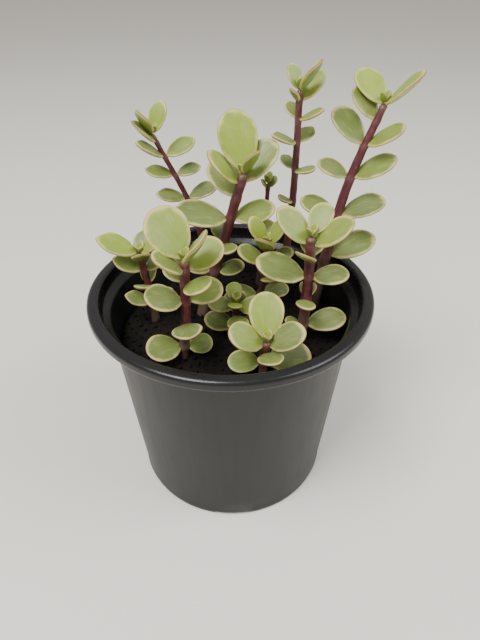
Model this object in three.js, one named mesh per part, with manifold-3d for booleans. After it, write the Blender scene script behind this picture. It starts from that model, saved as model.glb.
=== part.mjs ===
// A potted elephant bush: a variegated jade-like succulent in a thin-walled nursery pot.
// Millimetres, +Z up. The origin is on the ground, in the middle of the pot's foot.
import * as THREE from 'three';
import { mergeVertices } from 'three/addons/utils/BufferGeometryUtils.js';
import Module from 'manifold-3d';

const wasm = await Module();
wasm.setup();

// Pot
const POT_HEIGHT = 91;
const RIM_RADIUS = 55;
const FOOT_RADIUS = 41.5;
const WALL_TOP_RADIUS = 48;
const WALL_TOP_Z = 81.5;
const WALL = 1.3;
const FLOOR_Z = 3; // underside of the drained ring of the floor
const PAD_RADIUS = 14; // the middle of the floor is lower and stands on the ground
const POT_SIDES = 48;
const NOTCH = { width: 19, ramp: 3, height: 1.4, count: 4 };
const DRAIN = { radius: 4, ring: 26, count: 4 };

// Soil
const SOIL_Z = 71;
const ROOTED_DEPTH = 13;

// Plant
const GAP = 0.35;
const BASE_CLEARANCE = 0.3; // a separate leaf's base stands off its stem by this and the gap
const JOINED_DEPTH = 0.8; // how far inside the stem a joined leaf starts
const STEM_SIDES = 8;
const LEAF_AROUND = 8;
const LEAF_ALONG = 5;
const SEPARATE_FROM = 14; // leaves this long or longer are pieces of their own

// The way this shrub grows: leaves in opposite pairs, each pair turned from the one below it,
// nearer together and more upright towards the tip, their faces turned to the light at the front.
const LIGHT_TURN = 24;
const CROWDING = 0.68; // how much nearer the pairs are at the tip than at the foot
const WAVER = { facing: 10, lift: 7 }; // how far a leaf strays from the rule, in degrees

// Each stem: its radius at the soil and at the tip, the points that it grows through, the compass
// facing of its lowest pair (0 right, 90 back), the turn from pair to pair, the lift of its lowest
// and highest leaves, the share of its height that is bare, how broad a leaf is for its length, and
// the lengths of each pair from the lowest to the tip. A length of 0 is a leaf that has dropped.
const STEMS = [
  { "name": "left_back_stem", "radius": [1.7, 1.0], "facing": 185, "twist": 12, "lift": [15, 55],
    "bare": 0.62, "breadth": 0.6, "route": [[-10, 25, 71], [-15, 30, 105], [-30, 30, 140]],
    "pairs": [[13, 14], [12, 11], [14, 14], [13, 0], [13, 13]] },
  { "name": "centre_stem", "radius": [3.4, 1.8], "facing": 180, "twist": 96, "lift": [8, 55],
    "bare": 0.3, "breadth": 0.66, "route": [[-12, 10, 71], [-5, 15, 95], [5, 15, 130]],
    "pairs": [[13, 13], [13, 13], [18, 22], [20, 0], [18, 20], [13, 23]] },
  { "name": "tall_back_stem", "radius": [2.0, 1.2], "facing": 220, "twist": 90, "lift": [15, 50],
    "bare": 0.5, "breadth": 0.58, "route": [[22, 25, 71], [25, 28, 115], [25, 28, 156]],
    "pairs": [[10, 0], [12, 9], [11, 13], [9, 12], [8, 14], [15, 10]] },
  { "name": "right_stem", "radius": [3.0, 1.3], "facing": 0, "twist": 170, "lift": [22, 40],
    "bare": 0.28, "breadth": 0.64, "route": [[36, 17, 71], [44, 20, 120], [55, 24, 152]],
    "pairs": [[21, 0], [16, 19], [18, 14], [18, 16], [0, 15], [17, 18]] },
  { "name": "front_right_stem", "radius": [2.4, 1.8], "facing": 0, "twist": 85, "lift": [10, 48],
    "bare": 0.15, "breadth": 0.64, "route": [[28, -8, 71], [29, -6, 92], [29, -4, 114]],
    "pairs": [[17, 8], [11, 12], [21, 15], [13, 18], [18, 18], [14, 0]] },
  { "name": "front_left_stem", "radius": [2.3, 1.6], "facing": 195, "twist": 96, "lift": [4, 42],
    "bare": 0.1, "breadth": 0.8, "route": [[-18, -18, 71], [-16, -19, 90], [-15, -19, 113]],
    "pairs": [[15, 11], [14, 0], [15, 15], [12, 13], [14, 16], [16, 20]] },
  { "name": "left_edge_stem", "radius": [1.9, 1.3], "facing": 185, "twist": 90, "lift": [30, 30],
    "bare": 0.25, "breadth": 0.62, "route": [[-32, 5, 71], [-33, 4, 88], [-35, 4, 103]],
    "pairs": [[12, 11], [13, 11], [13, 13], [13, 12], [17, 13]] },
  { "name": "front_shoot", "radius": [2.0, 1.6], "facing": 190, "twist": 85, "lift": [8, 48],
    "bare": 0.3, "breadth": 0.72, "route": [[12, -28, 71], [12, -28, 78], [13, -29, 86]],
    "pairs": [[13, 18], [13, 10], [16, 16], [18, 0]] },
  { "name": "inner_stem", "radius": [1.8, 1.2], "facing": 190, "twist": 85, "lift": [12, 60],
    "bare": 0.2, "breadth": 0.64, "route": [[10, 14, 71], [14, 10, 88], [14, 5, 106]],
    "pairs": [[13, 13], [13, 12], [12, 14], [14, 13], [13, 12]] },
  { "name": "low_shoot", "radius": [1.6, 1.2], "facing": 180, "twist": 90, "lift": [5, 20],
    "bare": 0.3, "breadth": 0.72, "route": [[2, -6, 71], [2, -6, 79], [2, -6, 87]],
    "pairs": [[13, 12], [12, 13], [13, 11], [9, 8]] },
  { "name": "bud_shoot", "radius": [1.4, 0.9], "facing": 20, "twist": 90, "lift": [45, 45],
    "bare": 0.95, "breadth": 0.64, "route": [[12, 32, 71], [14, 31, 98], [15, 31, 120]],
    "pairs": [[6, 5]] },
];

const plastic = new THREE.MeshStandardMaterial({ color: 0x17171a, roughness: 0.45, metalness: 0 });
const compost = new THREE.MeshStandardMaterial({ color: 0x0d0b09, roughness: 1, metalness: 0 });
const bark = new THREE.MeshStandardMaterial({ color: 0x3a1f22, roughness: 0.6, metalness: 0 });
const blade = new THREE.MeshStandardMaterial({ color: 0x8a9a4c, roughness: 0.4, metalness: 0 });

// Manifold solids and three.js geometries, each from the other
function toSolid(geometry) {
  const bare = geometry.clone();
  bare.deleteAttribute('normal');
  bare.deleteAttribute('uv');
  const merged = mergeVertices(bare, 1e-4);
  const mesh = new wasm.Mesh({
    numProp: 3,
    vertProperties: Float32Array.from(merged.attributes.position.array),
    triVerts: Uint32Array.from(merged.index.array),
  });
  return new wasm.Manifold(mesh);
}

function fromSolid(solid) {
  const mesh = solid.getMesh();
  const geometry = new THREE.BufferGeometry();
  geometry.setAttribute('position', new THREE.BufferAttribute(Float32Array.from(mesh.vertProperties), 3));
  geometry.setIndex(new THREE.BufferAttribute(Uint32Array.from(mesh.triVerts), 1));
  geometry.computeVertexNormals();
  return geometry;
}

// A profile of [radius, height] points turned about the upright axis
function turned(profile, sides) {
  const points = profile.map(([r, z]) => new THREE.Vector2(r, z));
  const geometry = new THREE.LatheGeometry(points, sides);
  geometry.rotateX(Math.PI / 2);
  return geometry;
}

// The pot: tapered wall, stepped shoulder, rolled rim, raised floor in a foot ring
function potGeometry() {
  const shoulder = WALL_TOP_RADIUS + 3.2;
  const mouth = RIM_RADIUS - 4.6;
  const profile = [
    [0, 0],
    [PAD_RADIUS, 0],
    [PAD_RADIUS + 1.5, FLOOR_Z],
    [FOOT_RADIUS - 2.5, FLOOR_Z],
    [FOOT_RADIUS - 1.9, 0],
    [FOOT_RADIUS - 0.5, 0],
    [FOOT_RADIUS, 0.6],
    [FOOT_RADIUS + 0.1, 1.6],
    [FOOT_RADIUS + 0.4, 2],
    [FOOT_RADIUS + 0.2, 2.8],
    [WALL_TOP_RADIUS, WALL_TOP_Z],
    [WALL_TOP_RADIUS + 1.6, WALL_TOP_Z + 1.1],
    [shoulder, WALL_TOP_Z + 2.7],
    [shoulder + 0.5, POT_HEIGHT - 5.2],
    [RIM_RADIUS - 0.7, POT_HEIGHT - 4.4],
    [RIM_RADIUS - 0.1, POT_HEIGHT - 3.2],
    [RIM_RADIUS, POT_HEIGHT - 1.7],
    [RIM_RADIUS - 0.4, POT_HEIGHT - 0.6],
    [RIM_RADIUS - 1.4, POT_HEIGHT],
    [RIM_RADIUS - 3, POT_HEIGHT],
    [mouth + 0.5, POT_HEIGHT - 0.4],
    [mouth, POT_HEIGHT - 1.4],
    [mouth - 0.3, POT_HEIGHT - 5.4],
    [mouth - 1, POT_HEIGHT - 6.1],
    [WALL_TOP_RADIUS - WALL + 0.5, POT_HEIGHT - 7],
    [WALL_TOP_RADIUS - WALL, POT_HEIGHT - 8],
    [FOOT_RADIUS - WALL + 0.1, FLOOR_Z + WALL + 0.4],
    [FOOT_RADIUS - WALL - 0.6, FLOOR_Z + WALL],
    [PAD_RADIUS + 0.5, FLOOR_Z + WALL],
    [PAD_RADIUS - 1, WALL],
    [0, WALL],
  ];
  let pot = toSolid(turned(profile, POT_SIDES));
  for (let i = 0; i < NOTCH.count; i++) {
    pot = pot.subtract(toSolid(notchGeometry((i * 2 * Math.PI) / NOTCH.count)));
  }
  for (let i = 0; i < DRAIN.count; i++) {
    pot = pot.subtract(toSolid(drainGeometry(((i + 0.5) * 2 * Math.PI) / DRAIN.count)));
  }
  return fromSolid(pot);
}

// A drainage notch in the foot ring: a low trapezium pushed through the ring
function notchGeometry(angle) {
  const half = NOTCH.width / 2;
  const outline = new THREE.Shape();
  outline.moveTo(-half, -1);
  outline.lineTo(half, -1);
  outline.lineTo(half, 0);
  outline.lineTo(half - NOTCH.ramp, NOTCH.height);
  outline.lineTo(-half + NOTCH.ramp, NOTCH.height);
  outline.lineTo(-half, 0);
  const geometry = new THREE.ExtrudeGeometry(outline, { depth: 8, bevelEnabled: false });
  geometry.rotateX(Math.PI / 2);
  geometry.translate(0, -FOOT_RADIUS + 6, 0);
  geometry.rotateZ(angle);
  return geometry;
}

// A round drain hole in the floor
function drainGeometry(angle) {
  const geometry = new THREE.CylinderGeometry(DRAIN.radius, DRAIN.radius, 6, 16);
  geometry.rotateX(Math.PI / 2);
  geometry.translate(DRAIN.ring, 0, FLOOR_Z);
  geometry.rotateZ(angle);
  return geometry;
}

// The soil fills the pot to below the shoulder, with a socket where each stem is rooted
function soilGeometry() {
  const wallAt = (z) => {
    const t = (z - FLOOR_Z - WALL) / (POT_HEIGHT - 8 - FLOOR_Z - WALL);
    return FOOT_RADIUS - WALL + 0.1 + t * (WALL_TOP_RADIUS - FOOT_RADIUS - 0.1) - GAP - 0.15;
  };
  const bottom = FLOOR_Z + WALL + GAP;
  const profile = [
    [0, WALL + GAP],
    [PAD_RADIUS - 1.5, WALL + GAP],
    [PAD_RADIUS, bottom],
    [wallAt(bottom) - 1.2, bottom],
    [wallAt(bottom + 1.5), bottom + 1.5],
    [wallAt(SOIL_Z - 3), SOIL_Z - 3],
    [wallAt(SOIL_Z) - 1.5, SOIL_Z - 1.4],
    [38, SOIL_Z - 0.6],
    [20, SOIL_Z + 0.2],
    [0, SOIL_Z + 0.4],
  ];
  let soil = toSolid(turned(profile, POT_SIDES));
  for (const stem of STEMS) soil = soil.subtract(toSolid(stemGeometry(stem, GAP)));
  return fromSolid(soil);
}

// The smooth line that a stem grows along, from its rooted end to its tip
function stemCurve(stem) {
  const [x, y, z] = stem.route[0];
  const points = [[x, y, z - ROOTED_DEPTH], ...stem.route].map((p) => new THREE.Vector3(...p));
  return new THREE.CatmullRomCurve3(points, false, 'catmullrom', 0.5);
}

function stemRadius(stem, t) {
  return THREE.MathUtils.lerp(stem.radius[0], stem.radius[1], t);
}

// A stem: a cylinder bent along its curve and tapered, its cross-sections level
function stemGeometry(stem, extra = 0) {
  const curve = stemCurve(stem);
  const steps = Math.max(4, Math.round(curve.getLength() / 6));
  const geometry = new THREE.CylinderGeometry(1, 1, 1, STEM_SIDES, steps);
  const place = geometry.attributes.position;
  for (let i = 0; i < place.count; i++) {
    const t = THREE.MathUtils.clamp(place.getY(i) + 0.5, 0, 1);
    const centre = curve.getPoint(t);
    const radius = stemRadius(stem, t) + extra;
    const drop = t === 0 ? extra : 0;
    place.setXYZ(i, centre.x + radius * place.getX(i), centre.y - radius * place.getZ(i), centre.z - drop);
  }
  return geometry;
}

// Where along the curve a given height is reached
function stepAtHeight(curve, height) {
  let low = 0;
  let high = 1;
  for (let i = 0; i < 30; i++) {
    const middle = (low + high) / 2;
    if (curve.getPoint(middle).z < height) low = middle;
    else high = middle;
  }
  return (low + high) / 2;
}

// A leaf: a flattened ball drawn out to an egg shape, narrow at the base, its sides turned up
function leafGeometry(length, width) {
  const geometry = new THREE.SphereGeometry(1, LEAF_AROUND, LEAF_ALONG);
  const place = geometry.attributes.position;
  const thick = 0.8 + 0.07 * length;
  for (let i = 0; i < place.count; i++) {
    const along = (1 + place.getY(i)) / 2;
    const side = place.getX(i) * (0.76 + 0.4 * along);
    const up = place.getZ(i);
    const bend = 0.05 * length * along * along;
    const cup = 0.09 * width * side * side;
    place.setXYZ(i, length * along, -0.5 * width * side, 0.5 * thick * up + cup + bend);
  }
  return geometry;
}

// The leaves of a stem, two at each node, as rows of height, facing, lift, length, width and roll
function leavesOf(stem) {
  const foot = stem.route[0][2];
  const tall = stem.route.at(-1)[2] - foot;
  const last = Math.max(stem.pairs.length - 1, 1);
  const rows = [];
  stem.pairs.forEach((lengths, i) => {
    const s = i / last;
    const up = stem.bare + (0.99 - stem.bare) * s * (1 + CROWDING - CROWDING * s);
    lengths.forEach((length, side) => {
      const stray = 5 * i + 3 * side + stem.facing;
      const facing = stem.facing + stem.twist * i + 180 * side + WAVER.facing * Math.sin(7 * stray);
      const rise = THREE.MathUtils.lerp(stem.lift[0], stem.lift[1], s * s);
      const lift = rise + WAVER.lift * Math.sin(11 * stray);
      const roll = LIGHT_TURN * Math.cos(THREE.MathUtils.degToRad(facing));
      if (length > 0) rows.push([foot + tall * up, facing, lift, length, length * stem.breadth, roll]);
    });
  });
  return rows;
}

// A leaf in its place on the stem; a joined one starts inside the stem, a separate one beside it
function placedLeaf(stem, [height, facing, lift, length, width, roll]) {
  const curve = stemCurve(stem);
  const t = stepAtHeight(curve, height);
  const base = curve.getPoint(t);
  const turn = new THREE.Euler(
    THREE.MathUtils.degToRad(roll),
    THREE.MathUtils.degToRad(-lift),
    THREE.MathUtils.degToRad(facing),
    'ZYX',
  );
  const axis = new THREE.Vector3(1, 0, 0).applyEuler(turn);
  const growth = curve.getTangent(t);
  const across = Math.sqrt(1 - axis.dot(growth) ** 2);
  const beside = (stemRadius(stem, t) + GAP + BASE_CLEARANCE) / Math.max(across, 0.5);
  const clear = length >= SEPARATE_FROM ? beside : -JOINED_DEPTH;
  const geometry = leafGeometry(length - clear, width);
  geometry.translate(clear, 0, 0);
  geometry.applyMatrix4(new THREE.Matrix4().makeRotationFromEuler(turn));
  geometry.translate(base.x, base.y, base.z);
  return geometry;
}

const plant = new THREE.Group();

function add(name, geometry, material) {
  const mesh = new THREE.Mesh(geometry, material);
  mesh.name = name;
  plant.add(mesh);
}

// A stem with its short leaves joined to it, then its long leaves one by one
function addStem(stem) {
  let solid = toSolid(stemGeometry(stem));
  const leaves = leavesOf(stem);
  for (const leaf of leaves.filter((row) => row[3] < SEPARATE_FROM)) {
    solid = solid.add(toSolid(placedLeaf(stem, leaf)));
  }
  add(stem.name, fromSolid(solid), bark);
  const long = leaves.filter((row) => row[3] >= SEPARATE_FROM);
  long.forEach((leaf, i) => add(`${stem.name}_leaf_${i + 1}`, placedLeaf(stem, leaf), blade));
}

add('nursery_pot', potGeometry(), plastic);
add('potting_soil', soilGeometry(), compost);
STEMS.forEach(addStem);

export default plant;
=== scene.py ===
import math

import bmesh
import bpy
from mathutils import Euler, Matrix, Vector, noise


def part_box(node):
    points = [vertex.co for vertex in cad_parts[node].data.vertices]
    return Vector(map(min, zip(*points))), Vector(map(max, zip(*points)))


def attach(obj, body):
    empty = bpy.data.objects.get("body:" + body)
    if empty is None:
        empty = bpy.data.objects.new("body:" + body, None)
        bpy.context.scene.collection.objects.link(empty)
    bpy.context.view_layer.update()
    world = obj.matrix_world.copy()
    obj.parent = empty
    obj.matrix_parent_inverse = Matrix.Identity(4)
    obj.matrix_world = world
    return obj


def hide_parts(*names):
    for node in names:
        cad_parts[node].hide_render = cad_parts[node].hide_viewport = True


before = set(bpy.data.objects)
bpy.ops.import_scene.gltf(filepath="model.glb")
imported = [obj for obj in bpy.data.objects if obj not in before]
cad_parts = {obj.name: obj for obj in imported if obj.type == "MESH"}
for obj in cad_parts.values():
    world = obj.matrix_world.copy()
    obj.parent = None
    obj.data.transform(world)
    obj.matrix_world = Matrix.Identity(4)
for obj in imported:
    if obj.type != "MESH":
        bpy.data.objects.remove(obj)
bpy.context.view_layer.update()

scene = bpy.context.scene

# The camera looks down on the pot from the front, from a little above the top of the plant.
camera_data = bpy.data.cameras.new("camera")
camera_data.sensor_width = 36
camera_data.lens = 28.125
CAMERA_PITCH = 36.85
camera = bpy.data.objects.new("camera", camera_data)
camera.location = (0.00356, -0.1642, 0.1969)
camera.rotation_euler = (math.radians(90 - CAMERA_PITCH), 0, 0)
scene.collection.objects.link(camera)
scene.camera = camera


# The nursery pot: one thin moulding in near-black polypropylene, tapered so that pots nest,
# with a stepped shoulder, a rolled rim, a foot ring with drainage notches, and a drained floor.
MM = 0.001
pot_low, pot_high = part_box("nursery_pot")
POT_HEIGHT = (pot_high[2] - pot_low[2]) / MM
RIM_RADIUS = (pot_high[0] - pot_low[0]) / 2 / MM
FOOT_RADIUS = 41.5
WALL_TOP = (48, 81.5)
WALL = 1.3
FLOOR_Z = 3
PAD_RADIUS = 14
POT_STEPS = 128


def keep(name, bm, material, node=None):
    """Turns a bmesh made in millimetres into a finished piece in its place."""
    bm.normal_update()
    bmesh.ops.recalc_face_normals(bm, faces=bm.faces)
    bmesh.ops.scale(bm, vec=(MM, MM, MM), verts=bm.verts)
    mesh = bpy.data.meshes.new(name)
    bm.to_mesh(mesh)
    bm.free()
    mesh.materials.append(material)
    mesh.polygons.foreach_set("use_smooth", [True] * len(mesh.polygons))
    piece = bpy.data.objects.new(name, mesh)
    scene.collection.objects.link(piece)
    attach(piece, "root")
    if node:
        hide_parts(node)
    return piece


def spun(profile, steps):
    """A profile of (radius, height) points turned about the upright axis."""
    bm = bmesh.new()
    points = [bm.verts.new((radius, 0, height)) for radius, height in profile]
    edges = [bm.edges.new(pair) for pair in zip(points, points[1:])]
    bmesh.ops.spin(bm, geom=points + edges, cent=(0, 0, 0), axis=(0, 0, 1),
                   angle=math.tau, steps=steps, use_merge=True)
    bmesh.ops.remove_doubles(bm, verts=bm.verts, dist=0.002)
    return bm


def arc(centre, radius, start, end, steps):
    """Points on a round corner of a profile, with angles in degrees."""
    turns = [math.radians(start + (end - start) * i / steps) for i in range(steps + 1)]
    return [(centre[0] + radius * math.cos(a), centre[1] + radius * math.sin(a)) for a in turns]


def shader_group(name, inputs, outputs):
    """An empty shader node group with named float, colour or vector sockets."""
    group = bpy.data.node_groups.new(name, "ShaderNodeTree")
    for label, kind in inputs:
        group.interface.new_socket(label, in_out="INPUT", socket_type="NodeSocket" + kind)
    for label, kind in outputs:
        group.interface.new_socket(label, in_out="OUTPUT", socket_type="NodeSocket" + kind)
    return group, group.nodes.new("NodeGroupInput"), group.nodes.new("NodeGroupOutput")


def wired(tree, kind, values=None, links=None, **settings):
    """Adds a node, sets its values by socket and joins its inputs to other nodes' outputs."""
    node = tree.nodes.new(kind)
    for key, value in settings.items():
        setattr(node, key, value)
    for key, value in (values or {}).items():
        node.inputs[key].default_value = value
    for key, socket in (links or {}).items():
        tree.links.new(socket, node.inputs[key])
    return node


def spread(tree, value, low, high, to_low=0.0, to_high=1.0):
    """The value mapped smoothly from one range to another."""
    node = wired(tree, "ShaderNodeMapRange", {1: low, 2: high, 3: to_low, 4: to_high}, {0: value},
                 interpolation_type="SMOOTHSTEP")
    return node.outputs[0]


def blended(tree, factor, first, second):
    """Two colours mixed; each is a colour value or a socket."""
    node = wired(tree, "ShaderNodeMix", data_type="RGBA")
    for index, value in ((0, factor), (6, first), (7, second)):
        if isinstance(value, bpy.types.NodeSocket):
            tree.links.new(value, node.inputs[index])
        else:
            node.inputs[index].default_value = value
    return node.outputs[2]


def sum_of(tree, first, second, operation="ADD"):
    """Two values joined by one operation; the second may be a number."""
    node = wired(tree, "ShaderNodeMath", links={0: first}, operation=operation)
    if isinstance(second, bpy.types.NodeSocket):
        tree.links.new(second, node.inputs[1])
    else:
        node.inputs[1].default_value = second
    return node.outputs[0]


def finish_of(name, group, bump, **shader_values):
    """A material whose colour, roughness and relief come from a group, on a Principled shader."""
    material = bpy.data.materials.new(name)
    material.use_nodes = True
    tree = material.node_tree
    shader = tree.nodes["Principled BSDF"]
    for label, value in shader_values.items():
        shader.inputs[label.replace("_", " ")].default_value = value
    source = tree.nodes.new("ShaderNodeGroup")
    source.node_tree = group
    relief = wired(tree, "ShaderNodeBump", {"Strength": bump[0], "Distance": bump[1]},
                   {"Height": source.outputs["Height"]})
    tree.links.new(source.outputs["Color"], shader.inputs["Base Color"])
    tree.links.new(source.outputs["Roughness"], shader.inputs["Roughness"])
    tree.links.new(relief.outputs["Normal"], shader.inputs["Normal"])
    return material


FINISH = [("Color", "Color"), ("Roughness", "Float"), ("Height", "Float")]

plastic_group, _, plastic_out = shader_group("moulded_plastic", [], FINISH)
where = wired(plastic_group, "ShaderNodeTexCoord").outputs["Object"]
height = wired(plastic_group, "ShaderNodeSeparateXYZ", links={0: where}).outputs["Z"]
grain = wired(plastic_group, "ShaderNodeTexNoise", {"Scale": 2600, "Detail": 3}, {"Vector": where})
cloud = wired(plastic_group, "ShaderNodeTexNoise", {"Scale": 45, "Detail": 5}, {"Vector": where})
long_ways = wired(plastic_group, "ShaderNodeMapping", {"Scale": (1, 1, 0.06)}, {"Vector": where})
drawn = wired(plastic_group, "ShaderNodeTexNoise", {"Scale": 420, "Detail": 4},
              {"Vector": long_ways.outputs[0]})
dusty = sum_of(plastic_group, spread(plastic_group, height, 0.012, 0.0),
               spread(plastic_group, cloud.outputs["Fac"], 0.42, 0.7), "MULTIPLY")
body = blended(plastic_group, cloud.outputs["Fac"],
               (0.0065, 0.0065, 0.007, 1), (0.011, 0.011, 0.012, 1))
dust = blended(plastic_group, sum_of(plastic_group, dusty, 0.45, "MULTIPLY"), body,
               (0.075, 0.070, 0.062, 1))
plastic_group.links.new(dust, plastic_out.inputs["Color"])
rim_shine = spread(plastic_group, height, 0.0815, 0.086, 0.0, -0.15)
mottle = spread(plastic_group, drawn.outputs["Fac"], 0.3, 0.7, 0.38, 0.43)
plastic_group.links.new(sum_of(plastic_group, mottle, rim_shine), plastic_out.inputs["Roughness"])
plastic_relief = sum_of(plastic_group, grain.outputs["Fac"],
                        sum_of(plastic_group, drawn.outputs["Fac"], 0.25, "MULTIPLY"))
plastic_group.links.new(plastic_relief, plastic_out.inputs["Height"])
plastic = finish_of("pot_plastic", plastic_group, (0.08, 0.0002), Specular_IOR_Level=0.42)

shoulder = WALL_TOP[0] + 3.2
mouth = RIM_RADIUS - 4.6
ROLL = 1.7
pot_profile = [(0, 0), (PAD_RADIUS, 0), (PAD_RADIUS + 1.5, FLOOR_Z), (FOOT_RADIUS - 2.5, FLOOR_Z)]
pot_profile += [(FOOT_RADIUS - 1.9, 0), (FOOT_RADIUS - 0.6, 0)]
pot_profile += arc((FOOT_RADIUS - 0.6, 0.6), 0.6, -90, 0, 4)
pot_profile += [(FOOT_RADIUS + 0.1, 1.6), (FOOT_RADIUS + 0.4, 2), (FOOT_RADIUS + 0.2, 2.8)]
pot_profile += [(WALL_TOP[0] - 0.1, WALL_TOP[1] - 0.8), WALL_TOP]
pot_profile += [(WALL_TOP[0] + 0.7, WALL_TOP[1] + 0.8)]
pot_profile += [(shoulder - 0.7, WALL_TOP[1] + 2.2), (shoulder, WALL_TOP[1] + 3)]
pot_profile += [(shoulder + 0.5, POT_HEIGHT - 5.2), (RIM_RADIUS - 1.2, POT_HEIGHT - 4.5)]
pot_profile += arc((RIM_RADIUS - ROLL, POT_HEIGHT - ROLL - 1.2), ROLL, -35, 10, 4)
pot_profile += arc((RIM_RADIUS - ROLL, POT_HEIGHT - ROLL), ROLL, 0, 90, 8)
pot_profile += arc((mouth + 1.2, POT_HEIGHT - 1.2), 1.2, 90, 180, 6)
pot_profile += [(mouth - 0.3, POT_HEIGHT - 5.2), (mouth - 0.9, POT_HEIGHT - 6)]
pot_profile += [(WALL_TOP[0] - WALL + 0.6, POT_HEIGHT - 6.9), (WALL_TOP[0] - WALL, POT_HEIGHT - 8)]
pot_profile += [(FOOT_RADIUS - WALL + 0.1, FLOOR_Z + WALL + 0.6)]
pot_profile += [(FOOT_RADIUS - WALL - 0.6, FLOOR_Z + WALL)]
pot_profile += [(PAD_RADIUS + 0.5, FLOOR_Z + WALL), (PAD_RADIUS - 1, WALL), (0, WALL)]
pot = keep("nursery_pot_shell", spun(pot_profile, POT_STEPS), plastic, "nursery_pot")


def cut(piece, cutter_bm):
    """Takes a shape made in millimetres out of a finished piece."""
    bmesh.ops.scale(cutter_bm, vec=(MM, MM, MM), verts=cutter_bm.verts)
    mesh = bpy.data.meshes.new("cutter")
    cutter_bm.to_mesh(mesh)
    cutter_bm.free()
    cutter = bpy.data.objects.new("cutter", mesh)
    scene.collection.objects.link(cutter)
    modifier = piece.modifiers.new("cut", "BOOLEAN")
    modifier.operation = "DIFFERENCE"
    modifier.solver = "EXACT"
    modifier.object = cutter
    bpy.context.view_layer.update()
    result = bpy.data.meshes.new_from_object(piece.evaluated_get(bpy.context.evaluated_depsgraph_get()))
    piece.modifiers.clear()
    piece.data = result
    bpy.data.objects.remove(cutter)


NOTCH_WIDTH = 19
NOTCH_HEIGHT = 1.4
DRAIN_RADIUS = 4
DRAIN_RING = 26
holes = bmesh.new()
for quarter in range(4):
    along_ring = Matrix.Rotation(quarter * math.tau / 4, 4, "Z")
    notch = bmesh.ops.create_cube(holes, size=2)["verts"]
    for vert in notch:
        reach = NOTCH_WIDTH / 2 - (3 if vert.co.z > 0 else 0)
        vert.co = Vector((reach * vert.co.x, -FOOT_RADIUS + 2 + 4 * vert.co.y,
                          NOTCH_HEIGHT if vert.co.z > 0 else -1))
        vert.co = along_ring @ vert.co
    turned = Matrix.Rotation((quarter + 0.5) * math.tau / 4, 4, "Z")
    bmesh.ops.create_cone(holes, cap_ends=True, segments=32, radius1=DRAIN_RADIUS,
                          radius2=DRAIN_RADIUS, depth=6,
                          matrix=turned @ Matrix.Translation((DRAIN_RING, 0, FLOOR_Z)))
cut(pot, holes)


# The potting compost: damp, nearly black peat with bark crumbs, pressed into the pot and rough
# on top. It fills the pot to well below the rim.
SOIL_Z = 71
soil_low, soil_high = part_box("potting_soil")
SOIL_RADIUS = (soil_high[0] - soil_low[0]) / 2 / MM

soil_group, _, soil_out = shader_group("compost", [], FINISH)
where = wired(soil_group, "ShaderNodeTexCoord").outputs["Object"]
clods = wired(soil_group, "ShaderNodeTexNoise", {"Scale": 380, "Detail": 8, "Roughness": 0.7},
              {"Vector": where})
fibre = wired(soil_group, "ShaderNodeTexVoronoi", {"Scale": 900}, {"Vector": where})
dark = blended(soil_group, clods.outputs["Fac"],
               (0.0025, 0.002, 0.0016, 1), (0.012, 0.009, 0.0065, 1))
flecks = spread(soil_group, fibre.outputs["Distance"], 0.16, 0.05)
flecked = blended(soil_group, sum_of(soil_group, flecks, 0.3, "MULTIPLY"), dark, (0.10, 0.066, 0.04, 1))
soil_group.links.new(flecked, soil_out.inputs["Color"])
dampness = spread(soil_group, clods.outputs["Fac"], 0.3, 0.7, 0.95, 0.7)
soil_group.links.new(dampness, soil_out.inputs["Roughness"])
soil_group.links.new(clods.outputs["Fac"], soil_out.inputs["Height"])
compost = finish_of("compost", soil_group, (0.8, 0.0008), Specular_IOR_Level=0.2)

RINGS = 30
soil_profile = [(0, WALL + 0.4), (PAD_RADIUS - 1.5, WALL + 0.4), (PAD_RADIUS, FLOOR_Z + WALL + 0.4)]
soil_profile += [(FOOT_RADIUS - 3, FLOOR_Z + WALL + 0.4), (FOOT_RADIUS - 2, 8)]
soil_profile += [(SOIL_RADIUS, SOIL_Z - 1.6)]
soil_profile += [(SOIL_RADIUS * (1 - i / RINGS), SOIL_Z) for i in range(1, RINGS + 1)]
soil = spun(soil_profile, 140)
for vert in soil.verts:
    if vert.co.z > SOIL_Z - 2:
        broad = noise.noise(vert.co * 0.09)
        fine = noise.noise(vert.co * 0.55 + Vector((9, 4, 1)))
        vert.co.z += 1.0 * broad + 0.9 * fine - 0.4
CRUMBS = 420
for k in range(CRUMBS):
    ring = 44 * math.sqrt((k + 0.5) / CRUMBS)
    turn = 2.39996 * k
    size = 0.5 + 0.9 * abs(noise.noise(Vector((k * 0.71, 3, 8))))
    place = Vector((ring * math.cos(turn), ring * math.sin(turn), SOIL_Z + 0.1))
    made = bmesh.ops.create_icosphere(soil, subdivisions=1, radius=size)["verts"]
    squash = Matrix.Diagonal((1.5, 0.9, 0.6, 1))
    tumble = Euler((k * 0.9, k * 1.7, k * 2.3)).to_matrix().to_4x4()
    bmesh.ops.transform(soil, matrix=Matrix.Translation(place) @ tumble @ squash, verts=made)
keep("potting_compost", soil, compost, "potting_soil")


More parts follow.
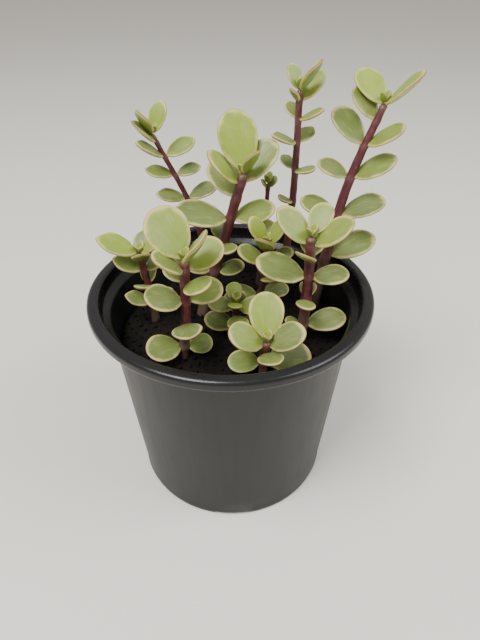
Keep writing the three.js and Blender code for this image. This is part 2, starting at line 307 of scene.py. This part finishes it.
# The stems: fleshy and dark maroon above, olive at the growing tips, woody and grey-brown near the
# compost, with a swollen scarred ring at each pair of leaves. Each is rooted in the compost.
ROOTED_DEPTH = 13
LIGHT_TURN = 24
CROWDING = 0.68
WAVER = {"facing": 10, "lift": 7}
SEPARATE_FROM = 14
STEMS = [
    {"name": "left_back_stem", "radius": [1.7, 1.0], "facing": 185, "twist": 12, "lift": [15, 55],
     "bare": 0.62, "breadth": 0.6, "route": [[-10, 25, 71], [-15, 30, 105], [-30, 30, 140]],
     "pairs": [[13, 14], [12, 11], [14, 14], [13, 0], [13, 13]]},
    {"name": "centre_stem", "radius": [3.4, 1.8], "facing": 180, "twist": 96, "lift": [8, 55],
     "bare": 0.3, "breadth": 0.66, "route": [[-12, 10, 71], [-5, 15, 95], [5, 15, 130]],
     "pairs": [[13, 13], [13, 13], [18, 22], [20, 0], [18, 20], [13, 23]]},
    {"name": "tall_back_stem", "radius": [2.0, 1.2], "facing": 220, "twist": 90, "lift": [15, 50],
     "bare": 0.5, "breadth": 0.58, "route": [[22, 25, 71], [25, 28, 115], [25, 28, 156]],
     "pairs": [[10, 0], [12, 9], [11, 13], [9, 12], [8, 14], [15, 10]]},
    {"name": "right_stem", "radius": [3.0, 1.3], "facing": 0, "twist": 170, "lift": [22, 40],
     "bare": 0.28, "breadth": 0.64, "route": [[36, 17, 71], [44, 20, 120], [55, 24, 152]],
     "pairs": [[21, 0], [16, 19], [18, 14], [18, 16], [0, 15], [17, 18]]},
    {"name": "front_right_stem", "radius": [2.4, 1.8], "facing": 0, "twist": 85, "lift": [10, 48],
     "bare": 0.15, "breadth": 0.64, "route": [[28, -8, 71], [29, -6, 92], [29, -4, 114]],
     "pairs": [[17, 8], [11, 12], [21, 15], [13, 18], [18, 18], [14, 0]]},
    {"name": "front_left_stem", "radius": [2.3, 1.6], "facing": 195, "twist": 96, "lift": [4, 42],
     "bare": 0.1, "breadth": 0.8, "route": [[-18, -18, 71], [-16, -19, 90], [-15, -19, 113]],
     "pairs": [[15, 11], [14, 0], [15, 15], [12, 13], [14, 16], [16, 20]]},
    {"name": "left_edge_stem", "radius": [1.9, 1.3], "facing": 185, "twist": 90, "lift": [30, 30],
     "bare": 0.25, "breadth": 0.62, "route": [[-32, 5, 71], [-33, 4, 88], [-35, 4, 103]],
     "pairs": [[12, 11], [13, 11], [13, 13], [13, 12], [17, 13]]},
    {"name": "front_shoot", "radius": [2.0, 1.6], "facing": 190, "twist": 85, "lift": [8, 48],
     "bare": 0.3, "breadth": 0.72, "route": [[12, -28, 71], [12, -28, 78], [13, -29, 86]],
     "pairs": [[13, 18], [13, 10], [16, 16], [18, 0]]},
    {"name": "inner_stem", "radius": [1.8, 1.2], "facing": 190, "twist": 85, "lift": [12, 60],
     "bare": 0.2, "breadth": 0.64, "route": [[10, 14, 71], [14, 10, 88], [14, 5, 106]],
     "pairs": [[13, 13], [13, 12], [12, 14], [14, 13], [13, 12]]},
    {"name": "low_shoot", "radius": [1.6, 1.2], "facing": 180, "twist": 90, "lift": [5, 20],
     "bare": 0.3, "breadth": 0.72, "route": [[2, -6, 71], [2, -6, 79], [2, -6, 87]],
     "pairs": [[13, 12], [12, 13], [13, 11], [9, 8]]},
    {"name": "bud_shoot", "radius": [1.4, 0.9], "facing": 20, "twist": 90, "lift": [45, 45],
     "bare": 0.95, "breadth": 0.64, "route": [[12, 32, 71], [14, 31, 98], [15, 31, 120]],
     "pairs": [[6, 5]]},
]


def on_route(stem, t):
    """The point a share t of the way along a stem, on a smooth curve through its points."""
    x, y, z = stem["route"][0]
    points = [Vector((x, y, z - ROOTED_DEPTH))] + [Vector(p) for p in stem["route"]]
    spans = len(points) - 1
    i = min(int(t * spans), spans - 1)
    w = t * spans - i
    before = points[i - 1] if i > 0 else 2 * points[0] - points[1]
    after = points[i + 2] if i + 2 <= spans else 2 * points[-1] - points[-2]
    start, end = points[i], points[i + 1]
    leaving, arriving = (end - before) / 2, (after - start) / 2
    return ((2 * w**3 - 3 * w**2 + 1) * start + (w**3 - 2 * w**2 + w) * leaving
            + (3 * w**2 - 2 * w**3) * end + (w**3 - w**2) * arriving)


def at_height(stem, height):
    """How far along a stem a height is reached."""
    low, high = 0.0, 1.0
    for _ in range(30):
        middle = (low + high) / 2
        if on_route(stem, middle).z < height:
            low = middle
        else:
            high = middle
    return (low + high) / 2


def leaf_rows(stem):
    """Two leaves at each node: height, facing, lift, length, width, roll and nearness to the tip."""
    foot = stem["route"][0][2]
    tall = stem["route"][-1][2] - foot
    last = max(len(stem["pairs"]) - 1, 1)
    rows = []
    for i, lengths in enumerate(stem["pairs"]):
        s = i / last
        up = stem["bare"] + (0.99 - stem["bare"]) * s * (1 + CROWDING - CROWDING * s)
        for side, length in enumerate(lengths):
            stray = 5 * i + 3 * side + stem["facing"]
            facing = stem["facing"] + stem["twist"] * i + 180 * side
            facing += WAVER["facing"] * math.sin(7 * stray)
            rise = stem["lift"][0] + (stem["lift"][1] - stem["lift"][0]) * s * s
            lift = rise + WAVER["lift"] * math.sin(11 * stray)
            roll = LIGHT_TURN * math.cos(math.radians(facing))
            if length > 0:
                rows.append((foot + tall * up, facing, lift, length, length * stem["breadth"], roll, s))
    return rows


bark_group, _, bark_out = shader_group("stem_skin", [], FINISH)
where = wired(bark_group, "ShaderNodeTexCoord").outputs["Object"]
age = wired(bark_group, "ShaderNodeAttribute", attribute_name="up").outputs["Fac"]
ring = wired(bark_group, "ShaderNodeAttribute", attribute_name="ring").outputs["Fac"]
upright = wired(bark_group, "ShaderNodeMapping", {"Scale": (1, 1, 0.25)}, {"Vector": where})
streak = wired(bark_group, "ShaderNodeTexNoise", {"Scale": 900, "Detail": 6},
               {"Vector": upright.outputs[0]})
patch = wired(bark_group, "ShaderNodeTexNoise", {"Scale": 160, "Detail": 4}, {"Vector": where})
skin = blended(bark_group, patch.outputs["Fac"], (0.050, 0.008, 0.012, 1), (0.135, 0.022, 0.032, 1))
bloom = blended(bark_group, spread(bark_group, streak.outputs["Fac"], 0.55, 0.75, 0.0, 0.5), skin,
                (0.22, 0.12, 0.13, 1))
wood = blended(bark_group, streak.outputs["Fac"], (0.045, 0.026, 0.018, 1), (0.20, 0.13, 0.085, 1))
worn = sum_of(bark_group, age, sum_of(bark_group, patch.outputs["Fac"], 0.25, "MULTIPLY"), "SUBTRACT")
woody = blended(bark_group, spread(bark_group, worn, 0.02, 0.3, 1.0, 0.0), bloom, wood)
tipped = blended(bark_group, spread(bark_group, age, 0.95, 1.0, 0.0, 0.6), woody,
                 (0.13, 0.11, 0.035, 1))
scarred = blended(bark_group, sum_of(bark_group, ring, 0.22, "MULTIPLY"), tipped,
                  (0.24, 0.13, 0.11, 1))
bark_group.links.new(scarred, bark_out.inputs["Color"])
bark_group.links.new(spread(bark_group, age, 0.1, 0.6, 0.75, 0.42), bark_out.inputs["Roughness"])
bark_relief = sum_of(bark_group, streak.outputs["Fac"], patch.outputs["Fac"])
bark_group.links.new(bark_relief, bark_out.inputs["Height"])
bark = finish_of("stem_skin", bark_group, (0.45, 0.0005))

STEM_SIDES = 20
STEM_STEP = 0.9
RING_REACH = 0.9
RING_SWELL = 0.16
STEM_UNEVENNESS = 0.07
TIP_START = 0.985


def make_stem(stem):
    """A stem drawn up ring by ring along its route, swollen at its nodes and rounded at its tip."""
    foot_z = stem["route"][0][2]
    tip_z = stem["route"][-1][2]
    nodes = sorted({row[0] for row in leaf_rows(stem)})
    steps = int((tip_z - foot_z + ROOTED_DEPTH) / STEM_STEP)
    bm = bmesh.new()
    up_layer = bm.verts.layers.float.new("up")
    ring_layer = bm.verts.layers.float.new("ring")
    loop = bmesh.ops.create_circle(bm, cap_ends=False, segments=STEM_SIDES, radius=1)["verts"]
    edges = list(bm.edges)
    first = list(edges)
    shape = [vert.co.copy() for vert in loop]
    for step in range(steps + 1):
        t = step / steps
        centre = on_route(stem, t)
        nearest = min(abs(centre.z - z) for z in nodes)
        closeness = math.exp(-(nearest / RING_REACH) ** 2)
        ending = math.sqrt(max(1 - max(0, (t - TIP_START) / 0.0155) ** 2, 0.02))
        radius = stem["radius"][0] + (stem["radius"][1] - stem["radius"][0]) * t
        for vert, flat in zip(loop, shape):
            lump = noise.noise(Vector((flat.x, flat.y, centre.z * 0.3)))
            rough = 1 + STEM_UNEVENNESS * lump + RING_SWELL * closeness
            vert.co = centre + flat * radius * rough * ending
            vert[up_layer] = max(0, (centre.z - foot_z) / (tip_z - foot_z))
            vert[ring_layer] = closeness
        if step < steps:
            grown = bmesh.ops.extrude_edge_only(bm, edges=edges)["geom"]
            fresh = [g for g in grown if isinstance(g, bmesh.types.BMVert)]
            order = {vert.co.copy().freeze(): i for i, vert in enumerate(loop)}
            loop = sorted(fresh, key=lambda vert: order[vert.co.copy().freeze()])
            edges = [g for g in grown if isinstance(g, bmesh.types.BMEdge)
                     and g.verts[0] in loop and g.verts[1] in loop]
    bmesh.ops.edgenet_fill(bm, edges=edges)
    bmesh.ops.edgenet_fill(bm, edges=first)
    keep(stem["name"] + "_skin", bm, bark, stem["name"])


for stem in STEMS:
    make_stem(stem)


# The leaves: fleshy, smooth and egg-shaped, sage green with a creamy yellow margin that has a thin
# brownish line at its very edge. Young ones are lime. Each grows from the stem on a short neck.
blade_group, _, blade_out = shader_group("variegated_blade", [], FINISH)
where = wired(blade_group, "ShaderNodeTexCoord").outputs["Object"]
blade_at = wired(blade_group, "ShaderNodeAttribute", attribute_name="blade").outputs["Vector"]
tone = wired(blade_group, "ShaderNodeAttribute", attribute_name="tone").outputs["Fac"]
parts = wired(blade_group, "ShaderNodeSeparateXYZ", links={0: blade_at})
across, along_blade, above = parts.outputs[0], parts.outputs[1], parts.outputs[2]
square = sum_of(blade_group, sum_of(blade_group, across, across, "MULTIPLY"),
                sum_of(blade_group, along_blade, along_blade, "MULTIPLY"))
outward = sum_of(blade_group, square, 0.5, "POWER")
wash = wired(blade_group, "ShaderNodeTexNoise", {"Scale": 210, "Detail": 4}, {"Vector": where})
pores = wired(blade_group, "ShaderNodeTexNoise", {"Scale": 2400, "Detail": 3}, {"Vector": where})
lanes = wired(blade_group, "ShaderNodeMapping", {"Scale": (5.5, 0.8, 0.6)}, {"Vector": blade_at})
streaks = wired(blade_group, "ShaderNodeTexNoise", {"Scale": 1.6, "Detail": 5},
                {"Vector": lanes.outputs[0]})
ragged = sum_of(blade_group, outward,
                spread(blade_group, wash.outputs["Fac"], 0.3, 0.7, -0.07, 0.07))
sage = blended(blade_group, wash.outputs["Fac"], (0.105, 0.150, 0.036, 1), (0.205, 0.245, 0.078, 1))
lime = blended(blade_group, wash.outputs["Fac"], (0.215, 0.320, 0.022, 1), (0.350, 0.430, 0.055, 1))
green = blended(blade_group, tone, sage, lime)
lane_strength = spread(blade_group, streaks.outputs["Fac"], 0.5, 0.72, 0.0, 0.45)
pale_lanes = blended(blade_group, lane_strength, green, (0.370, 0.385, 0.140, 1))
# Painted shade: the underside of each blade is darkened towards a deep green.
painted_underside_shade = spread(blade_group, above, -0.15, -0.5, 0.0, 0.45)
shaded = blended(blade_group, painted_underside_shade, pale_lanes, (0.080, 0.135, 0.022, 1))
cream = blended(blade_group, spread(blade_group, ragged, 0.80, 0.99), shaded,
                (0.560, 0.510, 0.180, 1))
near_tip = spread(blade_group, along_blade, -0.1, 0.7)
hairline = sum_of(blade_group, spread(blade_group, outward, 0.965, 0.995), near_tip, "MULTIPLY")
lined = blended(blade_group, sum_of(blade_group, hairline, 0.75, "MULTIPLY"), cream,
                (0.210, 0.070, 0.040, 1))
blade_group.links.new(lined, blade_out.inputs["Color"])
waxiness = spread(blade_group, wash.outputs["Fac"], 0.3, 0.7, 0.36, 0.5)
blade_group.links.new(waxiness, blade_out.inputs["Roughness"])
blade_relief = sum_of(blade_group, pores.outputs["Fac"],
                      sum_of(blade_group, wash.outputs["Fac"], 2.0, "MULTIPLY"))
blade_group.links.new(blade_relief, blade_out.inputs["Height"])
leaf_skin = finish_of("leaf_skin", blade_group, (0.16, 0.0004), Subsurface_Weight=0.08,
                      Subsurface_Scale=0.002, Coat_Weight=0.06, Coat_Roughness=0.3)

BLADE_AROUND = 28
BLADE_ALONG = 20
NARROW = 0.62
POINTED_TIP = 0.5
ROUND_TIP = 0.12
NECK_START = 0.6
THICKNESS_BASE = 0.9
THICKNESS_PER_MM = 0.075
CUP = 0.09
BEND = 0.05
RIPPLE = 0.018
SWERVE = 0.05


def grow_leaf(bm, stem, row, number):
    """A ball drawn out to an egg-shaped fleshy blade and set on its stem at its facing and lift."""
    height, facing, lift, length, width, roll, young = row
    t = at_height(stem, height)
    base = on_route(stem, t)
    neck = NECK_START * (stem["radius"][0] + (stem["radius"][1] - stem["radius"][0]) * t)
    reach = length - neck
    thick = THICKNESS_BASE + THICKNESS_PER_MM * length
    blade_layer = bm.verts.layers.float_vector["blade"]
    tone_layer = bm.verts.layers.float["tone"]
    phase = 2.4 * number + stem["facing"]
    pointed = POINTED_TIP if stem["breadth"] <= NARROW else ROUND_TIP
    pose = Euler((math.radians(roll), math.radians(-lift), math.radians(facing)), "XYZ").to_matrix()
    made = bmesh.ops.create_uvsphere(bm, u_segments=BLADE_AROUND, v_segments=BLADE_ALONG, radius=1)["verts"]
    for vert in made:
        side, above, ahead = vert.co
        vert[blade_layer] = (side, ahead, above)
        vert[tone_layer] = min(1, max(0, 0.1 + 0.75 * young**3 + 0.25 * math.sin(phase)))
        along = (1 + ahead) / 2
        spread_out = side * (0.76 + 0.4 * along) * (0.7 + 0.3 * min(1, along / 0.2))
        spread_out *= 1 - pointed * max(0, (along - 0.6) / 0.4) ** 2
        plump = math.copysign(abs(above) ** 0.8, above)
        cup = CUP * width * spread_out**2
        bend = BEND * length * along**2
        ripple = RIPPLE * length * math.sin(2.2 * side + phase) * along
        swerve = SWERVE * width * math.sin(phase) * along**2
        vert.co = base + pose @ Vector((neck + reach * along, -0.5 * width * spread_out + swerve,
                                        0.5 * thick * plump + cup + bend + ripple))


def empty_blade():
    """A bmesh ready for leaves, with the attributes that their skin reads."""
    bm = bmesh.new()
    bm.verts.layers.float_vector.new("blade")
    bm.verts.layers.float.new("tone")
    return bm


BUD_LENGTHS = (5, 4)
BUD_LIFT = 62
BUD_BREADTH = 0.6
for stem in STEMS:
    rows = leaf_rows(stem)
    small = empty_blade()
    count = 0
    for number, row in enumerate(rows):
        if row[3] >= SEPARATE_FROM:
            count += 1
            blade = empty_blade()
            grow_leaf(blade, stem, row, number)
            name = f"{stem['name']}_leaf_{count}"
            keep(name + "_blade", blade, leaf_skin, name)
        else:
            grow_leaf(small, stem, row, number)
    tip_height = stem["route"][-1][2] - 0.4
    for k, bud in enumerate(BUD_LENGTHS):
        for side in (0, 180):
            facing = stem["facing"] + 90 * k + side + 45
            grow_leaf(small, stem, (tip_height, facing, BUD_LIFT, bud, bud * BUD_BREADTH, 0, 1), k)
    keep(stem["name"] + "_small_leaves", small, leaf_skin)


# The studio: a plain pale floor, a soft high light from the front left, a weaker one from the
# right and an even pale surround.
floor_bm = bmesh.new()
bmesh.ops.create_grid(floor_bm, x_segments=1, y_segments=1, size=6)
floor_mesh = bpy.data.meshes.new("floor")
floor_bm.to_mesh(floor_mesh)
floor_bm.free()
floor = bpy.data.objects.new("floor", floor_mesh)
scene.collection.objects.link(floor)
floor_paint = bpy.data.materials.new("floor_paint")
floor_paint.use_nodes = True
floor_paint.node_tree.nodes["Principled BSDF"].inputs["Base Color"].default_value = (0.82, 0.79, 0.73, 1)
floor_paint.node_tree.nodes["Principled BSDF"].inputs["Roughness"].default_value = 0.8
floor_mesh.materials.append(floor_paint)


def soft_light(name, place, size, power):
    """A square area light that faces the middle of the plant."""
    data = bpy.data.lights.new(name, "AREA")
    data.size = size
    data.energy = power
    lamp = bpy.data.objects.new(name, data)
    lamp.location = place
    lamp.rotation_euler = (Vector(place) - Vector((0, 0, 0.09))).to_track_quat("Z", "Y").to_euler()
    scene.collection.objects.link(lamp)


soft_light("key", (-0.35, -0.35, 0.95), 0.5, 12)
soft_light("fill", (0.65, -0.15, 0.75), 0.5, 5)
world = bpy.data.worlds.new("studio")
world.use_nodes = True
world.node_tree.nodes["Background"].inputs["Color"].default_value = (1.0, 0.97, 0.92, 1)
world.node_tree.nodes["Background"].inputs["Strength"].default_value = 0.6
scene.world = world
